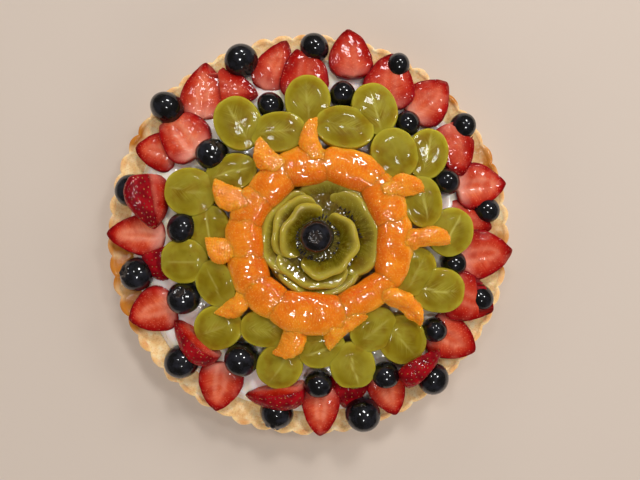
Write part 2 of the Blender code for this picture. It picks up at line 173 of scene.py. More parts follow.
# Fruit with a berry on the tip, which keeps its own shape
WHOLE_TIPS = (20,)
STRAWBERRY_SHOULDER = 0.3
STRAWBERRY_CAP = 0.55
SKIN_LIP = 0.32
LAP_HEIGHT = 5
SEED_SIZE = (0.58, 0.36, 0.3)
SEED_SPACING = 2.7
CUT_POINTS = 30
SKIN_POINTS = 50

Grape = namedtuple("Grape", "bearing distance height heading length width dip")
GRAPE_ARCS = (
    (
        Grape(1, 77.5, 38.5, 60, 27, 25, 7),
        Grape(34, 78, 39, 75, 28, 23, 7),
        Grape(62, 77, 39, 108, 29, 25, 8),
        Grape(90, 72.5, 39, 92, 29, 25, 8),
        Grape(122, 71, 39, 118, 31, 26, 8),
        Grape(16, 64, 41.5, 100, 28, 22, 7),
        Grape(43, 63.5, 42, 112, 28, 26, 8),
        Grape(71, 60.5, 42.5, 350, 32, 24, 9),
        Grape(106, 57, 42, 5, 30, 23, 8),
    ),
    (
        Grape(160, 68, 37.5, 350, 29, 27, 6),
        Grape(192, 68.5, 38, 0, 27, 25, 8),
        Grape(226, 70, 37.5, 20, 27, 25, 6),
        Grape(141, 53, 39.5, 15, 28, 21, 4),
        Grape(178, 52.5, 39, 100, 28, 23, 6),
        Grape(208, 56, 40.5, 118, 26, 22, 9),
    ),
    (
        Grape(258, 73, 37.5, 55, 26, 25, 7),
        Grape(289, 75, 38.5, 285, 27, 25, 8),
        Grape(312, 76.5, 38, 310, 28, 26, 8),
        Grape(245, 56, 40, 355, 26, 21, 8),
        Grape(277, 62, 40, 15, 26, 21, 7),
        Grape(305, 62, 41, 35, 27, 23, 8),
    ),
    (
        Grape(337, 77, 39, 355, 29, 25, 7),
        Grape(341, 61, 41.5, 60, 27, 23, 12),
    ),
)
GRAPE_DEPTH = 0.46

# Bearing and distance are from the rose's heart, and turn is from the tangent
SEGMENT_MEASURES = "bearing distance height turn length width thickness dip blunt"
Segment = namedtuple("Segment", SEGMENT_MEASURES, defaults=[False])
RING_SEGMENTS = (
    Segment(354, 41.5, 39.5, 4, 40, 18, 17, 6),
    Segment(30, 42, 39.5, -6, 34, 18, 17, 4),
    Segment(65, 42.5, 39.5, 6, 37, 18, 17, 6),
    Segment(101, 41.5, 39.5, -4, 32, 18, 17, 6),
    Segment(130, 40, 39.5, 4, 28, 17, 17, 4),
    Segment(155, 40.5, 39, -3, 28, 17, 17, 5),
    Segment(180, 41, 39.5, 5, 28, 18, 17, 5),
    Segment(204, 42, 39, -4, 30, 18, 17, 6),
    Segment(226, 42.5, 39, 4, 26, 17, 17, 7),
    Segment(309, 40, 40, -8, 40, 14, 16, 4),
    Segment(263, 40.5, 41, 2, 42, 20, 16, 4),
)
SPILLED_SEGMENTS = (
    Segment(123, 51, 45, 105, 20, 12, 10, 6, True),
    Segment(95, 52, 45, 98, 23, 11, 10, 6, True),
    Segment(33, 52, 45, 72, 24, 12, 10, 7, True),
    Segment(2, 55, 44.5, 96, 29, 11, 11, 6),
    Segment(324, 56, 44, 91, 31, 11, 11, 7),
    Segment(285, 46, 43, 205, 28, 13, 12, 2),
    Segment(256, 54.5, 42.5, 80, 24, 14, 10, 9, True),
    Segment(219, 54, 41.5, 94, 27, 11, 11, 8),
    Segment(187, 52, 43.5, 85, 17, 14, 11, 6, True),
    Segment(155, 51, 43.5, 96, 23, 13, 11, 5, True),
)

Petal = namedtuple("Petal", "start end foot_radius rim_radius foot rim")
PETALS = (
    Petal(105, 228, 22, 28, 35, 46.5),
    Petal(208, 332, 22, 28.5, 35, 45.5),
    Petal(-50, 76, 19, 30, 36, 47.5),
    Petal(12, 116, 22.5, 31, 36, 46.5),
    Petal(93, 206, 17.5, 23.5, 37, 47.5),
    Petal(196, 318, 17.5, 24, 37, 46.5),
    Petal(82, 218, 13, 18, 38, 48.5),
    Petal(-130, 66, 12.5, 18, 38, 49.5),
)

# Studio: lengths in metres, and the lens in millimetres
FLOOR_REACH = 3.0
WORLD_STRENGTH = 0.1
CAMERA_PLACE = (0.0067, -0.00295, 0.299)
CAMERA_LENS = 27.17


# --- numbers ---


def polar(bearing, distance, height=0.0):
    angle = math.radians(bearing)
    return Vector((distance * math.cos(angle), distance * math.sin(angle), height))


def turned(degrees, axis):
    return Matrix.Rotation(math.radians(degrees), 4, axis)


def placement(middle, outward, dip, heading, roll=0):
    """Where a piece lies: its length points to the heading, and its outward side dips."""
    lie = turned(outward, "Z") @ turned(dip, "Y") @ turned(heading - outward, "Z")
    return Matrix.Translation(middle) @ lie @ turned(roll, "X")


def moved(matrix, points):
    matrix = np.array(matrix)
    return points @ matrix[:3, :3].T + matrix[:3, 3]


def noise(points, size, seed=0):
    """Smooth random values from -1 to 1 at the points, in lumps of the given size."""
    lattice = np.random.default_rng(seed).uniform(-1, 1, (LATTICE, LATTICE, LATTICE))
    cell = points / size
    low = np.floor(cell)
    part = cell - low
    part = part * part * (3 - 2 * part)
    low = low.astype(int)
    total = np.zeros(points.shape[:-1])
    for corner in itertools.product((0, 1), repeat=3):
        weight = np.where(corner, part, 1 - part).prod(axis=-1)
        i, j, k = np.moveaxis((low + corner) % LATTICE, -1, 0)
        total += weight * lattice[i, j, k]
    return total


def smooth_step(low, high, values):
    part = np.clip((values - low) / (high - low), 0, 1)
    return part * part * (3 - 2 * part)


# --- meshes ---


def whole_turn(steps):
    """Angles in even steps round a circle, in radians."""
    return np.arange(steps) * math.tau / steps


def round_rings(radius, angle, level):
    """Points at a radius and an angle round the vertical axis, each at its level."""
    return np.stack([radius * np.cos(angle), radius * np.sin(angle), level + 0 * angle], axis=-1)


def outward_normals(rings):
    """Unit normals of a grid of points, of which each row is a loop."""
    along = np.gradient(rings, axis=0)
    around = np.roll(rings, -1, axis=1) - np.roll(rings, 1, axis=1)
    normals = np.cross(around, along)
    normals /= np.linalg.norm(normals, axis=-1, keepdims=True) + 1e-9
    out = rings - rings.mean(axis=(0, 1))
    return normals * np.sign((normals * out).sum())


def with_ends(values):
    """Values for the points of a loft: those of its rings, then those of the middles of its ends."""
    ends = [values[0].mean(axis=0), values[-1].mean(axis=0)]
    return np.concatenate([values.reshape(-1, *values.shape[2:]), ends])


def loft(rings):
    """Points and faces of the closed mesh through rings of points, drawn together at both ends."""
    count, around = rings.shape[:2]
    here = np.arange(around)
    after = (here + 1) % around
    rows = np.arange(count - 1)[:, None] * around
    quads = np.stack([rows + here, rows + after, rows + around + after, rows + around + here], axis=-1)
    last = (count - 1) * around
    near = np.stack([np.full(around, count * around), after, here], axis=-1)
    far = np.stack([np.full(around, count * around + 1), last + here, last + after], axis=-1)
    return with_ends(rings), quads.reshape(-1, 4).tolist() + near.tolist() + far.tolist()


Part = namedtuple("Part", "points faces fields finish")


def lofted(rings, finish, **fields):
    """Part of the closed mesh through the rings, with fields given for each of their points."""
    return Part(*loft(rings), {key: with_ends(values) for key, values in fields.items()}, finish)


def pebble():
    """Points and faces of a ball of few faces, for seeds."""
    latitude = np.radians([-52, 0, 52])[:, None]
    return loft(round_rings(np.cos(latitude), whole_turn(5), np.sin(latitude)))


def seeds(places, normals, directions, sizes, finish):
    """Part of a seed at each place on a surface, with half lengths along, across and through."""
    points, faces = pebble()
    across = np.cross(normals, directions)
    across /= np.linalg.norm(across, axis=1, keepdims=True) + 1e-9
    forward = np.cross(across, normals)
    axes = np.stack([forward, across, normals], axis=1) * sizes[..., None]
    copies = np.einsum("pk,nkj->npj", points, axes) + places[:, None]
    count = len(points)
    many = [[corner + number * count for corner in face] for number in range(len(places)) for face in faces]
    return Part(copies.reshape(-1, 3), many, {}, finish)


class Solid:
    """A node's solid, against which the looks are pressed into shape."""

    # How far a point may lie outside, and how much further it may go when pressed
    FREE = 1.7
    SOFT = 1.0

    def __init__(self, node):
        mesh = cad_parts[node].data
        points = [vertex.co / MM for vertex in mesh.vertices]
        self.tree = BVHTree.FromPolygons(points, [list(face.vertices) for face in mesh.polygons])

    def press(self, points):
        """The points, of which those well outside the solid are drawn back to near its surface."""
        pressed = points.copy()
        for number, point in enumerate(points):
            place, normal, _, distance = self.tree.find_nearest(Vector(point))
            if distance <= self.FREE or (Vector(point) - place).dot(normal) < 0:
                continue
            left = self.FREE + self.SOFT * (1 - math.exp((self.FREE - distance) / self.SOFT))
            pressed[number] = np.array(place) + (point - np.array(place)) * left / distance
        return pressed


def placed(name, data):
    """New object in the scene."""
    made = bpy.data.objects.new(name, data)
    bpy.context.scene.collection.objects.link(made)
    return made


def make(name, parts, where, nodes, solid=None):
    """A piece of one or more parts that share its place, pressed into a solid's shape."""
    mesh = bpy.data.meshes.new(name)
    points = np.concatenate([part.points for part in parts])
    fields = {"local": moved(where, points)}
    if solid is not None:
        points = moved(where.inverted(), solid.press(fields["local"]))
    faces, finishes = [], []
    start = 0
    for number, part in enumerate(parts):
        faces += [[corner + start for corner in face] for face in part.faces]
        finishes += [number] * len(part.faces)
        start += len(part.points)
    mesh.from_pydata((points * MM).tolist(), [], faces)
    mesh.polygons.foreach_set("material_index", finishes)
    mesh.shade_smooth()
    for key, values in parts[0].fields.items():
        blank = [np.zeros((len(part.points), *values.shape[1:])) for part in parts[1:]]
        fields[key] = np.concatenate([values, *blank])
    for key, values in fields.items():
        vector = values.ndim == 2
        layer = mesh.attributes.new(key, "FLOAT_VECTOR" if vector else "FLOAT", "POINT")
        layer.data.foreach_set("vector" if vector else "value", values.astype(np.float32).ravel())
    for part in parts:
        mesh.materials.append(part.finish)
    piece = placed(name, mesh)
    metres = where.copy()
    metres.translation = where.translation * MM
    piece.matrix_world = metres
    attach(piece, "root")
    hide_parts(*nodes)
    return piece


# --- finishes ---


def srgb(red, green, blue):
    """Linear colour of one given as it looks on a screen, from 0 to 255."""
    share = np.array([red, green, blue]) / 255
    linear = np.where(share > 0.04045, ((share + 0.055) / 1.055) ** 2.4, share / 12.92)
    return (*linear.tolist(), 1.0)


class Finish:
    """A procedural material round a Principled shader. Its methods return sockets."""

    def __init__(self, name, **constants):
        self.material = bpy.data.materials.new(name)
        self.material.use_nodes = True
        self.tree = self.material.node_tree
        self.shader = self.tree.nodes["Principled BSDF"]
        for key, value in constants.items():
            self.shader.inputs[key.replace("_", " ").title().replace("Ior", "IOR")].default_value = value

    def add(self, kind, inputs, **settings):
        node = self.tree.nodes.new(kind)
        for key, value in settings.items():
            setattr(node, key, value)
        for key, value in inputs.items():
            if isinstance(value, bpy.types.NodeSocket):
                self.tree.links.new(value, node.inputs[key])
            else:
                node.inputs[key].default_value = value
        return node

    def field(self, name):
        return self.add("ShaderNodeAttribute", {}, attribute_name=name).outputs["Fac"]

    def place(self, name="local"):
        return self.add("ShaderNodeAttribute", {}, attribute_name=name).outputs["Vector"]

    def stretched(self, vector, scale):
        return self.add("ShaderNodeMapping", {"Vector": vector, "Scale": scale}).outputs["Vector"]

    def noise(self, size, detail, vector=None):
        inputs = {"Vector": vector or self.place(), "Scale": 1 / size, "Detail": detail}
        return self.add("ShaderNodeTexNoise", inputs).outputs["Fac"]

    def cells(self, size, vector=None):
        inputs = {"Vector": vector or self.place(), "Scale": 1 / size}
        return self.add("ShaderNodeTexVoronoi", inputs).outputs["Distance"]

    def ramp(self, factor, *stops):
        node = self.add("ShaderNodeValToRGB", {"Fac": factor})
        elements = node.color_ramp.elements
        while len(elements) < len(stops):
            elements.new(0.5)
        for element, (position, colour) in zip(elements, stops):
            element.position = position
            element.color = srgb(*colour) if isinstance(colour, tuple) else (colour, colour, colour, 1)
        return node.outputs["Color"]

    def mix(self, factor, first, second, blend="MIX"):
        """The first colour with the second over it, which is a socket or (red, green, blue)."""
        inputs = {0: factor, 6: first, 7: srgb(*second) if isinstance(second, tuple) else second}
        node = self.add("ShaderNodeMix", inputs, data_type="RGBA", blend_type=blend)
        return node.outputs[2]

    def times(self, first, second):
        return self.add("ShaderNodeMath", {0: first, 1: second}, operation="MULTIPLY").outputs[0]

    def stained(self, colour, share, size, detail, stain, clean):
        """The colour with darker patches, which end where the noise passes the clean value."""
        patches = self.ramp(self.noise(size, detail), (0.34, stain), (clean, (255, 255, 255)))
        return self.mix(share, colour, patches, "MULTIPLY")

    def dotted(self, colour, size, share, speck, near=0.05, far=0.3):
        """The colour with specks at random, one for each cell of the given size."""
        dots = self.ramp(self.cells(size), (near, share), (far, 0.0))
        return self.mix(dots, colour, speck)

    def relief(self, height, depth):
        """Normal of a surface whose height varies by the depth in millimetres."""
        inputs = {"Height": height, "Distance": depth * MM, "Strength": 1.0}
        return self.add("ShaderNodeBump", inputs).outputs["Normal"]

    def set(self, **links):
        for key, socket in links.items():
            self.tree.links.new(socket, self.shader.inputs[key.replace("_", " ").title()])
        return self.material


# Constants of a finish that lies under thick clear glaze
THICK_GLAZE = {"coat_weight": 1.0, "coat_roughness": 0.02, "coat_ior": 1.7}


def wet(finish, depth, size):
    """Normal of the clear glaze, which lies in soft uneven ripples."""
    return finish.relief(finish.noise(size, 1.0), depth)


def juicy(name, weight, depth, radius, **constants):
    """Finish of cut fruit, which light enters: a share, a depth in metres and a reach by colour."""
    light = {"subsurface_weight": weight, "subsurface_scale": depth, "subsurface_radius": radius}
    return Finish(name, specular_ior_level=0.05, **light, **constants)


def pastry_finish():
    """Pale crumb, browned where it stands out, under amber glaze where that ran."""
    made = Finish(
        "pastry", roughness=0.75, specular_ior_level=0.3, subsurface_weight=0.15, subsurface_scale=0.002
    )
    shades = (0.3, (240, 188, 120)), (0.5, (252, 212, 152)), (0.7, (255, 232, 188))
    base = made.ramp(made.noise(4, 4), *shades)
    toasted = made.times(made.field("toast"), made.noise(8, 3))
    colour = made.mix(made.ramp(toasted, (0.36, 0.0), (0.6, 0.75)), base, (228, 152, 76))
    colour = made.stained(colour, 0.35, 0.9, 2, (214, 168, 118), 0.46)
    amber = made.field("amber")
    colour = made.mix(amber, colour, (196, 120, 40))
    rough = made.ramp(amber, (0.1, 0.75), (0.5, 0.1))
    grain = made.relief(made.noise(0.8, 3), 0.15)
    return made.set(base_color=colour, roughness=rough, normal=grain)


def cream_finish():
    light = {"subsurface_weight": 0.4, "subsurface_scale": 0.004, "subsurface_radius": (1, 0.7, 0.5)}
    made = Finish("cream", coat_weight=0.6, coat_roughness=0.08, **light)
    shades = (0.32, (244, 214, 208)), (0.5, (248, 234, 228)), (0.66, (246, 230, 196))
    base = made.ramp(made.noise(14, 3), *shades)
    rough = made.ramp(made.noise(5, 2), (0.3, 0.25), (0.7, 0.5))
    return made.set(base_color=base, roughness=rough, coat_normal=wet(made, 0.25, 3))


def strawberry_finish():
    """Cut flesh with a pale heart and fibres that run to the rim, and a deep red skin."""
    coat = {"coat_weight": 0.4, "coat_roughness": 0.03}
    made = juicy("strawberry", 0.3, 0.003, (1, 0.25, 0.15), roughness=0.35, **coat)
    skin = made.ramp(made.noise(6, 2), (0.35, (108, 3, 14)), (0.65, (158, 12, 22)))
    inward = made.field("inward")
    flesh = made.ramp(
        inward,
        (0.0, (118, 4, 8)),
        (0.07, (160, 10, 10)),
        (0.3, (184, 20, 12)),
        (0.65, (196, 36, 18)),
        (1.0, (206, 56, 28)),
    )
    deep = made.ramp(made.field("pale"), (0.0, 0.7), (1.0, 0.0))
    flesh = made.mix(deep, flesh, (206, 140, 130), "MULTIPLY")
    fibre = made.noise(0.9, 2, made.stretched(made.place("fibres"), (1, 0.12, 1)))
    pale = made.times(made.field("pale"), made.ramp(inward, (0.15, 0.0), (0.8, 1.0)))
    veined = made.times(pale, made.ramp(fibre, (0.38, 0.4), (0.66, 0.8)))
    flesh = made.mix(veined, flesh, (232, 124, 80))
    flesh = made.mix(made.field("heart"), flesh, (240, 164, 134))
    flesh = made.stained(flesh, 0.6, 7, 2, (216, 130, 110), 0.56)
    # Light specks: juice cells in part, and in part painted glints of the wet glaze
    flesh = made.dotted(flesh, 1.4, 0.4, (242, 140, 108))
    colour = made.mix(made.field("cut"), skin, flesh)
    colour = made.mix(made.field("flush"), colour, (240, 170, 150))
    return made.set(base_color=colour, coat_normal=wet(made, 0.25, 2.6), normal=made.relief(fibre, 0.08))


def seed_finish():
    made = Finish("strawberry_seed", roughness=0.4, coat_weight=0.5, coat_roughness=0.1)
    return made.set(base_color=made.ramp(made.noise(4, 1), (0.35, (110, 44, 18)), (0.65, (176, 104, 44))))


def blueberry_finish():
    """Near-black skin with a thin bloom, under glaze."""
    made = Finish("blueberry", coat_weight=1.0, coat_roughness=0.03, specular_ior_level=0.1)
    bloom = made.ramp(made.noise(5, 3), (0.44, (6, 5, 6)), (0.74, (34, 34, 42)))
    crown = made.ramp(made.noise(1.6, 2), (0.35, (10, 10, 16)), (0.65, (58, 48, 42)))
    colour = made.mix(made.field("crown"), bloom, crown)
    rough = made.ramp(made.noise(3, 2), (0.3, 0.3), (0.7, 0.5))
    return made.set(base_color=colour, roughness=rough, coat_normal=wet(made, 0.14, 3.2))


def grape_finish():
    """Clear yellow-green flesh with a seam along it, paler veins beside the seam and a few specks."""
    coat = {"coat_weight": 0.28, "coat_roughness": 0.04}
    made = juicy("grape", 0.6, 0.005, (1, 0.9, 0.3), roughness=0.35, **coat)
    flesh = made.ramp(
        made.field("inward"),
        (0.0, (192, 178, 64)),
        (0.08, (166, 150, 38)),
        (0.24, (141, 122, 20)),
        (0.6, (126, 106, 14)),
        (1.0, (142, 124, 22)),
    )
    flesh = made.mix(made.ramp(made.noise(11, 2), (0.4, 0.0), (0.66, 0.7)), flesh, (158, 146, 46))
    flesh = made.stained(flesh, 0.45, 7, 3, (226, 176, 100), 0.5)
    veins = made.ramp(made.noise(0.9, 2, made.place("rays")), (0.42, 0.0), (0.7, 0.5))
    flesh = made.mix(made.times(veins, made.field("veined")), flesh, (184, 174, 76))
    flesh = made.mix(made.field("seam"), flesh, (206, 196, 104))
    flesh = made.dotted(flesh, 9, 1.0, (108, 72, 24), near=0.0, far=0.05)
    skin = made.ramp(made.noise(7, 2), (0.35, (134, 122, 18)), (0.65, (164, 152, 42)))
    colour = made.mix(made.field("cut"), skin, flesh)
    return made.set(base_color=colour, coat_normal=wet(made, 0.1, 3))


def mandarin_finish():
    """Juice sacs: clear orange, yellower at the rims. Light is painted in: the raised middles of the sacs
    are lighter, a painted highlight, the creases are redder, a painted shade, and light specks stand for
    glints.
    """
    made = juicy("mandarin", 0.8, 0.005, (1, 0.55, 0.12), roughness=0.3, **THICK_GLAZE)
    base = made.ramp(made.noise(7, 3), (0.3, (218, 108, 6)), (0.5, (228, 122, 8)), (0.7, (240, 140, 14)))
    colour = made.mix(made.times(made.field("rim"), 0.7), base, (246, 162, 42))
    # Painted shade: the inner edges by the kiwi and the ends of the segments are made redder and darker,
    # where shade falls in the creases
    colour = made.mix(made.times(made.field("inner"), 0.6), colour, (214, 86, 6))
    beads = made.cells(0.9, made.place("fibres"))
    # Painted light and shade on the sacs: their raised middles lighter and yellower as a painted highlight,
    # the walls between them redder as painted shade
    sacs = made.ramp(beads, (0.1, (255, 206, 96)), (0.5, (250, 140, 14)), (0.8, (240, 108, 6)))
    # Light specks: juice sacs in part, and in part painted glints of the wet glaze
    colour = made.dotted(made.mix(0.16, colour, sacs), 1.3, 0.5, (255, 208, 104))
    return made.set(base_color=colour, coat_normal=wet(made, 0.4, 2.6), normal=made.relief(beads, -0.12))


def kiwi_finish():
    """Green flesh with a cream core, rays that run out from it, a bright cut rim and brown gel round it."""
    made = juicy("kiwi", 0.5, 0.0035, (1, 0.85, 0.2), roughness=0.3, **THICK_GLAZE)
    flesh = made.ramp(
        made.field("out"),
        (0.0, (184, 172, 92)),
        (0.2, (146, 132, 42)),
        (0.3, (70, 58, 4)),
        (0.55, (88, 74, 6)),
        (0.85, (112, 96, 8)),
        (1.0, (142, 124, 22)),
    )
    rays = made.noise(0.05, 2, made.place("rays"))
    flesh = made.mix(made.ramp(rays, (0.42, 0.0), (0.62, 0.55)), flesh, (144, 130, 34))
    flesh = made.stained(flesh, 0.7, 6, 3, (206, 164, 96), 0.56)
    flesh = made.mix(made.times(made.field("rim"), 0.75), flesh, (182, 164, 56))
    # Light specks: flesh cells in part, and in part painted glints of the wet glaze
    flesh = made.dotted(flesh, 1.3, 0.35, (190, 180, 90))
    gel = made.times(made.field("gel"), made.ramp(made.noise(5, 2), (0.3, 0.4), (0.65, 0.9)))
    colour = made.mix(gel, flesh, (88, 64, 4))
    return made.set(base_color=colour, coat_normal=wet(made, 0.35, 2.4), normal=made.relief(rays, 0.12))


def pip_finish():
    made = Finish("kiwi_pip", roughness=0.4, coat_weight=0.25, coat_roughness=0.08)
    return made.set(base_color=made.ramp(made.noise(3, 1), (0.35, (22, 14, 10)), (0.65, (52, 32, 20))))


# --- case and cream ---


def case_section(foot, rim, inner, height):
    """Rows of radius, level and browning from under the case, up, over its rim and in."""
    width = rim - inner
    shoulder = height - width / RIM_FLATNESS
    flat = 0 * rim
    rows = []
    for share in np.linspace(0.02, 0.97, 8):
        rows.append((foot * share, 0.5 * (1 - share) + 0.05 + flat, 0.3))
    for turn in np.linspace(0, math.pi / 2, 4):
        out = foot - FOOT_ROUND * (1 - math.sin(turn))
        rows.append((out, FOOT_ROUND * (1 - math.cos(turn)) + flat, 0.35))
    for share in np.linspace(0.08, 0.93, 18):
        level = FOOT_ROUND + (shoulder - FOOT_ROUND) * share
        rows.append((foot + (rim - foot) * share, level, 0.35 + 0.25 * share))
    for turn in np.linspace(0, 2.5, 13):
        out = inner + width / 2 + width / 2 * math.cos(turn)
        rows.append((out, shoulder + width / RIM_FLATNESS * math.sin(turn), 0.6 + 0.4 * math.sin(turn)))
    edge, brow = rows[-1][:2]
    for share in np.linspace(0.06, 1, 14):
        level = brow + (CRUST_REACH_HEIGHT - brow) * (1.2 * share - 0.2 * share**2)
        rows.append((edge + (CRUST_REACH - edge) * share, level, 0.45 - 0.2 * share))
    for share in np.linspace(0.15, 1, 6):
        level = CRUST_REACH_HEIGHT + (CASE_FLOOR - CRUST_REACH_HEIGHT) * share
        rows.append((CRUST_REACH - CRUST_LEAN * share + flat, level + flat, 0.2))
    for share in (0.9, 0.6, 0.3, 0.02):
        rows.append(((CRUST_REACH - CRUST_LEAN) * share + flat, CASE_FLOOR + flat, 0.2))
    return rows


def pooled_glaze(bearing, rings):
    """Share of amber glaze on the case, from 0 to 1, in the pools that ran onto its rim."""
    amber = 0 * rings[..., 2]
    for middle, spread, low in POOLS:
        near = np.exp(-(((bearing - middle + 180) % 360 - 180) / spread) ** 4)
        amber += near * smooth_step(low, low + 2.5, rings[..., 2])
    return np.clip(amber * (1.1 + 0.8 * noise(rings, 6, 8)), 0, 1)


def make_case():
    angle = whole_turn(FLUTES * FLUTE_STEPS)
    crest = np.abs(np.cos(FLUTES * angle / 2)) ** 0.8
    hollow = 1 - crest
    flute = np.round(FLUTES * angle / math.tau).astype(int) % FLUTES
    random = np.random.default_rng(5)
    height = CASE_HEIGHT - 0.5 + random.uniform(-0.7, 0.35, FLUTES)[flute] * crest
    rim = CASE_RADIUS - 0.3 - FLUTE_DEPTH * hollow + random.uniform(-0.7, 0.25, FLUTES)[flute] * crest
    foot = CASE_FOOT_RADIUS - FLUTE_DEPTH * hollow
    inner = CASE_RADIUS - RIM_WIDTH - INNER_FLUTE_DEPTH * hollow
    rows = case_section(foot, rim, inner, height)
    radius, level = (np.array([row[index] for row in rows]) for index in (0, 1))
    toast = np.array([row[2] for row in rows])[:, None]
    rings = round_rings(radius, angle, level)
    amber = pooled_glaze(np.degrees(angle), rings)
    crumb = 0.4 * noise(rings, 5, 1) + 0.18 * noise(rings, 2.2, 2) + 0.1 * noise(rings, 1.1, 3)
    crumb[:8] *= 0.2
    crumb *= 1 - 0.8 * amber
    rings = rings + outward_normals(rings) * (crumb + 0.3 * amber)[..., None]
    rings[..., 2] = np.clip(rings[..., 2], 0, CASE_HEIGHT)
    part = lofted(rings, pastry_finish(), toast=toast * (0.5 + 0.5 * crest), amber=amber)
    make("pastry_case_baked", [part], Matrix(), ["pastry_case"])


def make_cream():
    """Cream, pressed up between the fruit in soft lumps."""
    angle = whole_turn(CREAM_STEPS)
    reach, tops = np.array(CREAM_TOP).T
    edge, brink = CREAM_TOP[-1]
    foot, bottom = CREAM_FOOT
    rows = [(foot * share, bottom) for share in np.linspace(0.02, 0.98, 10)]
    for share in np.linspace(0, 1, 8):
        rows.append((foot + (edge + 0.4 - foot) * share, bottom + 0.2 + (brink - bottom - 0.2) * share))
    for share in np.linspace(1, 0.01, CREAM_ROWS):
        distance = (edge + 2.2) * share
        rows.append((distance, float(np.interp(distance, reach, tops))))
    radius, level = np.array(rows).T[..., None]
    rings = round_rings(radius, angle, level)
    above = (np.arange(len(rows)) >= len(rows) - CREAM_ROWS)[:, None]
    lumps = 2 * noise(rings, 13, 10) + 0.8 * noise(rings, 6, 11) + 0.2 * noise(rings, 3, 12)
    risen = CREAM_RISE * smooth_step(edge + 0.5, edge - 9, radius) * smooth_step(40, 60, radius)
    rings[..., 2] += above * (lumps + 0.3 + risen)
    make("cream_filling", [lofted(rings, cream_finish())], Matrix(), ["cream"])


# --- fruit ---


def make_blueberry(name, berry, finish, random):
    """Berry with a five-pointed crown round a dent, turned as it lies."""
    latitude = np.radians(np.linspace(-86, 88, 34))[:, None]
    angle = whole_turn(48)
    polar_angle = np.degrees(math.pi / 2 - latitude)
    star = 0.5 + 0.5 * np.cos(5 * angle + random.uniform(0, 6))
    lip = np.exp(-(((polar_angle - 17 - 3 * star) / 5) ** 2))
    dent = smooth_step(19, 9, polar_angle)
    out = 1 + 0.07 * lip * (0.4 + star) - 0.13 * dent + 0.05 * smooth_step(6, 0, polar_angle)
    rings = round_rings(out * np.cos(latitude), angle, out * np.sin(latitude))
    rings = rings * berry.radius * (1, 1, BERRY_FLATTENING)
    rings += 0.02 * berry.radius * noise(rings, 7, int(berry.bearing))[..., None] * outward_normals(rings)
    crown = smooth_step(25, 17, polar_angle) + 0 * angle
    tilt, bearing = CROWNS.get(name, (random.uniform(105, 150), random.uniform(0, 360)))
    middle = polar(berry.bearing, berry.distance, berry.height)
    where = Matrix.Translation(middle) @ turned(bearing, "Z") @ turned(tilt, "Y")
    part = lofted(rings, finish, crown=crown)
    make(f"{name}_glazed", [part], where, [name], Solid(name))


def make_blueberries():
    finish = blueberry_finish()
    random = np.random.default_rng(21)
    for group, berries in (("outer", OUTER_BERRIES), ("inner", INNER_BERRIES)):
        for number, berry in enumerate(berries, 1):
            make_blueberry(f"blueberry_{group}_{number:02d}", berry, finish, random)
    make_blueberry("blueberry_centre", CENTRE_BERRY, finish, random)


def strawberry_width(along):
    """Share of the greatest width at places along the fruit, from the cap to the tip."""
    back = np.clip((STRAWBERRY_SHOULDER - along) / STRAWBERRY_SHOULDER, 0, 1)
    ahead = np.clip((along - STRAWBERRY_SHOULDER) / (1 - STRAWBERRY_SHOULDER), 0, 1)
    shoulder = 1 - (1 - STRAWBERRY_CAP) * back**2
    hull = np.sqrt(1 - np.clip(1 - along / 0.07, 0, 1) ** 2)
    return shoulder * (1 - ahead**1.8) ** 0.74 * hull


def half_section(cut_points, skin_points):
    """Round a half fruit: across its cut face, from -1 to 1, and back round its skin, widest just below."""
    across = np.linspace(-1, 1, cut_points) * math.cos(SKIN_LIP)
    turn = np.linspace(-SKIN_LIP, math.pi + SKIN_LIP, skin_points + 2)[1:-1]
    sideways = np.concatenate([across, np.cos(turn)])
    below = turn * (math.pi - turn) > 0
    skin = np.where(below, np.abs(np.sin(turn)) ** 0.85, 0.5 * np.sin(turn))
    down = np.concatenate([np.full(cut_points, -0.5 * math.sin(SKIN_LIP)), skin])
    cut = np.concatenate([np.ones(cut_points), np.zeros(skin_points)])
    return sideways, down, cut


def seed_spots(fruit, along, lap, random):
    """Rows and columns of a half's grid where its seeds lie, on its lips, its skin and any lap."""
    spots = []
    for row, place in enumerate(np.arange(0.09, 0.97, SEED_SPACING / fruit.length)):
        reach = float(strawberry_width(np.array(place)))
        lips = CUT_POINTS + 1, CUT_POINTS + SKIN_POINTS - 2
        for column in (*range(2 + 2 * (row % 2), int(CUT_POINTS * lap), 4), *lips):
            strayed = place + random.uniform(-0.02, 0.02)
            spots.append((int(np.abs(along[:, 0] - strayed).argmin()), column + random.integers(0, 2)))
        count = int(reach * math.pi * (fruit.width / 2 + fruit.depth) / 2 / 2.9)
        for step in range(count):
            turn = (step + 0.3 + 0.5 * (row % 2) + random.uniform(-0.15, 0.15)) / (count + 0.2)
            column = CUT_POINTS + int(np.clip(turn * SKIN_POINTS, 1, SKIN_POINTS - 2))
            spots.append((int(np.abs(along[:, 0] - place).argmin()), column))
    return np.array(spots).T


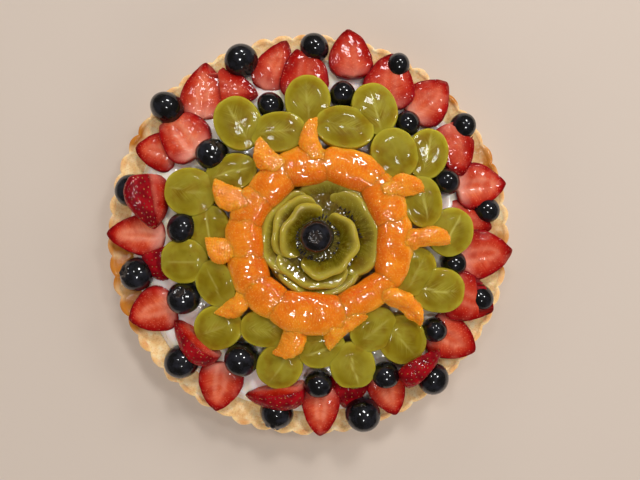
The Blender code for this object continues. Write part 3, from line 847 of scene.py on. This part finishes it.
def make_strawberry(name, fruit, finish, seed_look, number):
    """Half a fruit with a grooved heart, and seeds that lie in dents of its skin."""
    random = np.random.default_rng(100 + number)
    sideways, down, cut = half_section(CUT_POINTS, SKIN_POINTS)
    along = (0.5 - 0.5 * np.cos(np.linspace(0.06, math.pi - 0.06, 48)))[:, None]
    share = strawberry_width(along)
    x = (along - 0.5) * fruit.length + 0 * sideways
    y = share * sideways * fruit.width / 2
    z = -share * down * fruit.depth - 0.8
    rings = np.stack([x, y, z], axis=-1)
    bend = random.uniform(-1.6, 1.6)
    rings[..., 1] += bend * (2 * along - 1) ** 2 * share
    normals = outward_normals(rings)
    lap = LAPPED.get(number, 0)
    over = (sideways + 1) / 2
    bare = cut * smooth_step(lap - 0.04, lap + 0.04, over) if lap else cut
    on_cut = bare * np.ones_like(x)
    lip = math.cos(SKIN_LIP)
    edge = np.clip(np.minimum(lip - sideways, sideways - 2 * lap + lip), 0, 1) * share * fruit.width / 2
    skin = np.maximum((1 - cut) * smooth_step(-0.2, 0.15, down), cut - bare)
    if lap:
        rise = np.sin(np.clip(over / lap, 0, 1) * math.pi / 2)
        rings[..., 2] += LAP_HEIGHT * share * cut * np.minimum(rise, (1 - over) / (1 - lap))
    core = 0.2 * share * fruit.width / 2 * smooth_step(0.85, 0.55, along)
    aside = np.abs(y)
    heart_edge = np.exp(-(((aside - core) / 1.5) ** 2)) * smooth_step(0.85, 0.5, along)
    groove = smooth_step(1.2, 0.3, aside / (core + 0.3)) * smooth_step(0.75, 0.45, along)
    relief = 0.45 * noise(rings, 8, number) + 0.25 * noise(rings, 2.5, number + 40)
    rings[..., 2] += on_cut * (0.9 * smooth_step(0, 5, edge) - 0.5 * groove * fruit.pale)
    rings += normals * relief[..., None] * 0.8
    rows, columns = seed_spots(fruit, along, lap, random)
    places, out = rings[rows, columns], normals[rows, columns]
    nearest = np.linalg.norm(rings[:, :, None] - places, axis=-1).min(axis=-1)
    rings -= normals * (0.5 * skin * np.exp(-((nearest / 0.9) ** 2)))[..., None]
    near_hull = smooth_step(0.3, 0.02, along) * smooth_step(0, 4, edge)
    body = lofted(
        rings,
        finish,
        cut=on_cut * smooth_step(0, 0.6, edge),
        inward=np.clip(edge / (0.36 * fruit.width), 0, 1) * smooth_step(1, 0.7, along),
        heart=0.5 * on_cut * fruit.pale * np.clip(heart_edge + 0.5 * noise(rings, 3, number), 0, 1),
        pale=np.clip(fruit.pale + 0.4 * noise(rings, 9, number + 7), 0, 1),
        flush=0.7 * on_cut * fruit.pale * near_hull,
        fibres=np.stack([x - 0.5 * aside, aside, np.sign(y) * 9], axis=-1),
    )
    middle = polar(fruit.bearing, fruit.distance, fruit.height)
    where = placement(middle, fruit.bearing, fruit.dip, fruit.heading, fruit.roll)
    parts = [body, seeds(places - 0.3 * out, out, (1, 0, 0), np.array(SEED_SIZE), seed_look)]
    solid = None if number in WHOLE_TIPS else Solid(name)
    make(f"{name}_half", parts, where, [name], solid)


def make_strawberries():
    finish = strawberry_finish()
    seed_look = seed_finish()
    for number, fruit in enumerate(STRAWBERRIES, 1):
        make_strawberry(f"strawberry_{number:02d}", fruit, finish, seed_look, number)


def make_grape(name, node, grape, finish, solid, number):
    """Half a grape whose cut face swells, with a seam that wanders along it."""
    sideways, down, cut = half_section(26, 30)
    turn = np.linspace(0.05, math.pi - 0.05, 38)[:, None]
    along = -np.cos(turn)
    share = np.sin(turn) ** 0.92
    x = along * grape.length / 2 + 0 * sideways
    y = share * sideways * grape.width / 2
    z = -share * down * GRAPE_DEPTH * grape.width - 0.9
    rings = np.stack([x, y, z], axis=-1)
    normals = outward_normals(rings)
    across = np.hypot(x / (grape.length / 2), y / (grape.width / 2))
    edge = np.clip(1 - across, 0, 1) * grape.width / 2
    on_cut = cut * np.ones_like(x)
    swell = 1.4 * smooth_step(0, 6.5, edge) - 0.2 * np.exp(-((y / 1.2) ** 2)) * smooth_step(0, 6, edge)
    rings[..., 2] += on_cut * swell
    rings += normals * (0.3 * noise(rings, 8, number) + 0.06 * noise(rings, 2.2, number))[..., None]
    random = np.random.default_rng(number)
    aside = np.abs(y)
    wander = 0.9 * noise(rings, 7, number + 3)
    width = 0.45 + 0.35 * noise(rings, 3, number + 5)
    length = smooth_step(0.9, 0.3, np.abs(x + random.uniform(-2, 2)) / (grape.length / 2))
    seam = np.exp(-(((y - wander) / np.clip(width, 0.2, 1)) ** 2)) * length
    fan = smooth_step(0.3 * grape.width, 0, aside) * smooth_step(0.15, 0.6, edge / (grape.width / 2))
    part = lofted(
        rings,
        finish,
        cut=on_cut * smooth_step(0, 0.6, edge),
        inward=np.clip(edge / (grape.width / 2), 0, 1),
        seam=on_cut * seam * random.choice((0.08, 0.3, 0.6)),
        rays=np.stack([x - 1.3 * aside, 0.12 * aside, np.sign(y) + number], axis=-1),
        veined=random.choice((0, 0.5, 1)) * fan,
    )
    middle = polar(grape.bearing, grape.distance, grape.height)
    where = placement(middle, grape.bearing, grape.dip, grape.heading)
    make(name, [part], where, [node], solid)


def make_grapes():
    finish = grape_finish()
    for arc_number, arc in enumerate(GRAPE_ARCS, 1):
        node = f"grapes_{arc_number}"
        solid = Solid(node)
        for number, grape in enumerate(arc, 1):
            seed = 10 * arc_number + number
            make_grape(f"grape_{arc_number}_{number}", node, grape, finish, solid, seed)


def sac_relief(u, v, seed):
    """Distance to the wall between juice sacs, from 0 at a wall, in a field of jittered cells."""
    random = np.random.default_rng(seed)
    jitter = random.uniform(0.15, 0.85, (64, 64, 2))
    column, row = np.floor(u).astype(int), np.floor(v).astype(int)
    distances = []
    for step, lift in itertools.product((-1, 0, 1), repeat=2):
        spot = jitter[(column + step) % 64, (row + lift) % 64]
        distances.append(np.hypot(u - column - step - spot[..., 0], v - row - lift - spot[..., 1]))
    distances = np.sort(distances, axis=0)
    return distances[1] - distances[0]


def lay_segment(name, segment, part, roll=0, solid=None):
    """Puts a segment in its place round the rose's heart."""
    middle = HEART + polar(segment.bearing, segment.distance, segment.height)
    heading = segment.bearing - 90 + segment.turn
    where = placement(middle, segment.bearing, segment.dip, heading, roll)
    make(name, [part], where, ["mandarins"], solid)


def make_segment(name, segment, finish, solid, number):
    """Torn segment with its skin off, beaded with broken sacs."""
    random = np.random.default_rng(300 + number)
    along = np.sin(np.linspace(-0.5, 0.5, 72) * math.pi)[:, None] * 0.995
    share = (1 - np.abs(along) ** 2.6) ** 0.5
    if segment.blunt:
        torn = 1 - 0.22 * along**2
        end = np.sqrt(np.clip(1 - (np.clip(-along - 0.86, 0, 1) / 0.14) ** 2, 0, 1))
        share = np.where(along < 0, torn * end, share)
    around = whole_turn(84)
    height = 0.5 - 0.5 * np.cos(around)
    half = 1.22 * np.sqrt(height) * np.sqrt(1 - height**3 + 1e-6) * np.sign(np.sin(around))
    bow = -0.07 * segment.width * along**2
    x = along * segment.length / 2 + 0 * around
    y = -segment.width / 2 + share * height * segment.width + bow
    z = share * half * segment.thickness / 2
    rings = np.stack([x, y, z], axis=-1)
    normals = outward_normals(rings)
    lumps = 1.1 * noise(rings, 6, number) + 0.5 * noise(rings, 2.6, number)
    walls = sac_relief(x / 1.4 + 20, (y + 0.7 * z) / 2 + 20, number)
    rings += normals * (0.36 * smooth_step(0, 0.7, walls) + lumps - 0.25)[..., None]
    rim = np.clip(0.6 + 0.6 * noise(rings, 4, number), 0, 1)
    part = lofted(rings, finish, rim=rim, inner=0 * rim, fibres=rings * (1, 0.7, 0.7))
    lay_segment(name, segment, part, random.uniform(-4, 4), solid)


def make_pillow(name, segment, finish, number):
    """Whole segment on its side, swollen with juice, with the dents of its sacs."""
    along = np.sin(np.linspace(-0.5, 0.5, 72) * math.pi)[:, None] * 0.995
    share = (1 - np.abs(along) ** 2.8) ** 0.5
    around = whole_turn(92)
    square = np.abs(np.cos(around)) ** 0.8 * np.sign(np.cos(around))
    x = along * (segment.length / 2 + 2.2) + 0 * around
    bow = -0.1 * segment.width * along**2
    y = share * (segment.width / 2 + 1.7) * square + bow - 1.5
    z = share * (segment.thickness / 2 - 1.4) * np.sin(around) * (1 - 0.1 * np.cos(around)) + 2.6
    rings = np.stack([x, y, z], axis=-1)
    normals = outward_normals(rings)
    lumps = 0.7 * noise(rings, 7, number) + 0.22 * noise(rings, 3.4, number)
    walls = sac_relief(x / 1.9 + 20, y / 4 + 20 + 0.3 * np.sign(z), number)
    rings += normals * (0.14 * smooth_step(0, 0.8, walls) + lumps - 0.2)[..., None]
    across = y / (segment.width / 2)
    ends = smooth_step(0.85, 1, np.abs(along))
    rim = np.clip(smooth_step(0.2, 1, across) + 0.5 * noise(rings, 5, number), 0, 1)
    # Mask of painted shade for the creases: the inner edge by the kiwi, and the ends that meet the next
    # segment
    inner = np.clip(smooth_step(-0.5, -1.1, across) + 0.4 * ends, 0, 1)
    part = lofted(rings, finish, rim=rim, inner=inner, fibres=rings * (1, 0.4, 1))
    lay_segment(name, segment, part)


def make_mandarins():
    finish = mandarin_finish()
    solid = Solid("mandarins")
    for number, segment in enumerate(RING_SEGMENTS, 1):
        make_pillow(f"mandarin_segment_{number:02d}", segment, finish, number)
    for number, segment in enumerate(SPILLED_SEGMENTS, len(RING_SEGMENTS) + 1):
        make_segment(f"mandarin_segment_{number:02d}", segment, finish, solid, number)


def pips(rings, normals, chosen, random, axis, finish):
    """Part of the kiwi seeds half sunk in a surface at points of its grid, along one of its axes."""
    rows, columns = np.array(chosen).T
    places, out = rings[rows, columns], normals[rows, columns]
    along = np.gradient(rings, axis=axis)[rows, columns]
    forward = along / np.linalg.norm(along, axis=1, keepdims=True) + random.normal(0, 0.2, out.shape)
    sizes = np.array(PIP_SIZE) * random.uniform(0.8, 1.15, (len(places), 1))
    return seeds(places, out, forward, sizes, finish)


def kiwi_fields(across, up, rim, gel):
    """Where each point lies on the round slice that it is part of."""
    out = np.hypot(across, up)
    bearing = np.arctan2(up, across)
    rays = np.stack([np.cos(bearing), np.sin(bearing), 0.012 * out], axis=-1)
    return {"out": np.clip(out / KIWI_RADIUS, 0, 1), "rays": rays, "rim": rim, "gel": gel}


def make_petal(name, petal, finish, pip_look, number):
    """Thick bent slice with a soft round rim, which curls outwards as it rises."""
    random = np.random.default_rng(500 + number)
    across = np.linspace(-1, 1, PETAL_COLUMNS)[:, None]
    bearing = petal.start + (petal.end - petal.start) * (across + 1) / 2
    fall = 1 - np.sqrt(1 - np.abs(across) ** 2.5)
    tall = 1 - (1 - PETAL_END_HEIGHT) * fall
    face = np.linspace(0, 1, 22)
    turn = np.linspace(0, math.pi, 11)[1:-1]
    up = np.concatenate([face, 1 + 0 * turn, face[::-1]])
    half = PETAL_THICKNESS / 2 * np.clip(1.02 - np.abs(across) ** 14, 0.15, 1)
    through = np.concatenate([0 * face, 1 - np.cos(turn), 2 + 0 * face])
    beyond = np.concatenate([0 * face, np.sin(turn), 0 * face])
    rise = (petal.rim - petal.foot) * tall - half
    lean = (petal.rim_radius - petal.foot_radius + PETAL_SPREAD) * tall
    slope = np.arctan2(PETAL_CURL * lean * up ** (PETAL_CURL - 1), rise)
    angle = np.radians(bearing) + 0 * up
    frill = 0.7 * np.sin(4 * angle + number) + 0.5 * np.sin(9 * angle + 2 * number)
    radius = petal.foot_radius - PETAL_SPREAD + lean * up**PETAL_CURL + frill * up**2
    radius = radius + half * (through * np.cos(slope) + beyond * np.sin(slope))
    level = petal.foot + rise * up + half * (beyond * np.cos(slope) - through * np.sin(slope))
    level = level + 0.5 * np.sin(6 * angle + 3 * number) * up**3
    rings = round_rings(radius, angle, level) + np.array(HEART)
    normals = outward_normals(rings)
    rings += normals * (0.3 * noise(rings, 6, number) + 0.12 * noise(rings, 2, number))[..., None]
    arc = np.radians(bearing - (petal.start + petal.end) / 2) * petal.rim_radius + 0 * up
    inside = through < 1
    depth = np.hypot(rise, lean) * (1 - up)
    rim = np.clip(1 - depth / 2.6, 0, 1) ** 2
    parts = [lofted(rings, finish, **kiwi_fields(arc * 0.8, 20 - depth, rim, 0 * arc))]
    chosen = []
    for row in range(8, PETAL_COLUMNS - 8, 3):
        columns = np.flatnonzero(inside & (np.abs(depth[row] - random.uniform(6, 9)) < 0.5))
        if len(columns):
            chosen.append((row, int(columns[len(columns) // 2])))
    if chosen and number in SEEDED_PETALS:
        parts.append(pips(rings, normals, chosen, random, 1, pip_look))
    make(name, parts, Matrix(), ["kiwi_rose"])


def make_slice(finish, pip_look):
    """Heart of the rose: whole slices, of which the top one shows, with brown gel at its edge."""
    random = np.random.default_rng(77)
    steps = 180
    angle = whole_turn(steps)
    rows = [(share * 24.5, SLICE_BOTTOM) for share in np.linspace(0.05, 1, 8)]
    rows += [(25 + 1.6 * share, SLICE_BOTTOM + 0.6 + 13.2 * share) for share in np.linspace(0, 1, 10)]
    rows += [(share * SLICE_RADIUS, SLICE_TOP - 0.4) for share in np.linspace(0.99, 0.02, SLICE_ROWS)]
    radius, level = np.array(rows).T[..., None]
    flat = round_rings(radius, angle, level)
    start = len(rows) - SLICE_ROWS
    top = (np.arange(len(rows)) >= start)[:, None]
    gel = smooth_step(14, 18, radius) * top * np.ones_like(angle)
    rings = flat + np.array(HEART)
    pooled = 1.6 - 1.2 * np.exp(-(((np.degrees(angle) + 180) % 360 - 180 - 5) / 55) ** 4)
    lumps = 0.5 * noise(rings, 7, 61) + 0.3 * noise(rings, 2.5, 62)
    raised = 1.6 * smooth_step(18, 12, radius)
    sunk = 1.5 * smooth_step(SLICE_RADIUS - 2, SLICE_RADIUS, radius)
    rings[..., 2] += top * (lumps + raised - sunk) + (pooled + lumps) * gel
    chosen = []
    for step in range(0, steps, 4):
        row = start + int(np.abs(radius[start:, 0] - random.uniform(10.6, 13.6)).argmin())
        chosen.append((row, step))
    up = np.zeros_like(rings) + [0, 0, 1]
    body = lofted(rings, finish, **kiwi_fields(flat[..., 0], flat[..., 1], 0 * gel, gel))
    parts = [body, pips(rings, up, chosen, random, 0, pip_look)]
    make("kiwi_slice", parts, Matrix(), ["kiwi_rose"])


def make_rose():
    finish = kiwi_finish()
    pip_look = pip_finish()
    make_slice(finish, pip_look)
    for number, petal in enumerate(PETALS, 1):
        make_petal(f"kiwi_petal_{number}", petal, finish, pip_look, number)


# --- studio ---


def make_floor():
    mesh = bpy.data.meshes.new("floor")
    corners = [(FLOOR_REACH * x, FLOOR_REACH * y, 0) for x, y in ((-1, -1), (1, -1), (1, 1), (-1, 1))]
    mesh.from_pydata(corners, [], [(0, 1, 2, 3)])
    floor = placed("floor", mesh)
    made = Finish("floor", base_color=srgb(204, 188, 174), roughness=0.7)
    mesh.materials.append(made.material)


def add_light(name, place, size, power, glints=True):
    """Soft rectangular light that faces the tart. The glaze mirrors it only if it gives glints."""
    light = bpy.data.lights.new(name, "AREA")
    light.shape = "RECTANGLE"
    light.size, light.size_y = size
    light.energy = power
    lamp = placed(name, light)
    lamp.location = place
    lamp.visible_glossy = glints
    lamp.rotation_euler = (-Vector(place)).to_track_quat("-Z", "Y").to_euler()


def make_studio():
    scene = bpy.context.scene
    make_floor()
    add_light("soft_key", (1.3, 1.5, 1.3), (0.5, 0.5), 8.5, glints=False)
    for number, power in enumerate((5, 4, 5, 6)):
        add_light(f"fill_{number}", polar(20 + 90 * number, 1.4, 0.65), (0.9, 0.6), power, glints=False)
    add_light("window_far", (0.35, 1.25, 1.4), (0.3, 0.24), 10)
    add_light("window_near", (0.95, 0.55, 1.5), (0.16, 0.22), 5)
    add_light("lamp_left", (-0.5, 0.75, 1.6), (0.18, 0.18), 3.5)
    add_light("lamp_near", (0.12, -0.45, 1.7), (0.2, 0.2), 4.5)
    world = bpy.data.worlds.new("studio")
    world.use_nodes = True
    background = world.node_tree.nodes["Background"]
    background.inputs["Color"].default_value = (1, 0.95, 0.88, 1)
    background.inputs["Strength"].default_value = WORLD_STRENGTH
    scene.world = world
    camera = bpy.data.cameras.new("camera")
    camera.sensor_width = 36
    camera.lens = CAMERA_LENS
    holder = placed("camera", camera)
    holder.location = CAMERA_PLACE
    scene.camera = holder
    scene.view_settings.view_transform = "Standard"


make_case()
make_cream()
make_blueberries()
make_strawberries()
make_grapes()
make_rose()
make_mandarins()
make_studio()
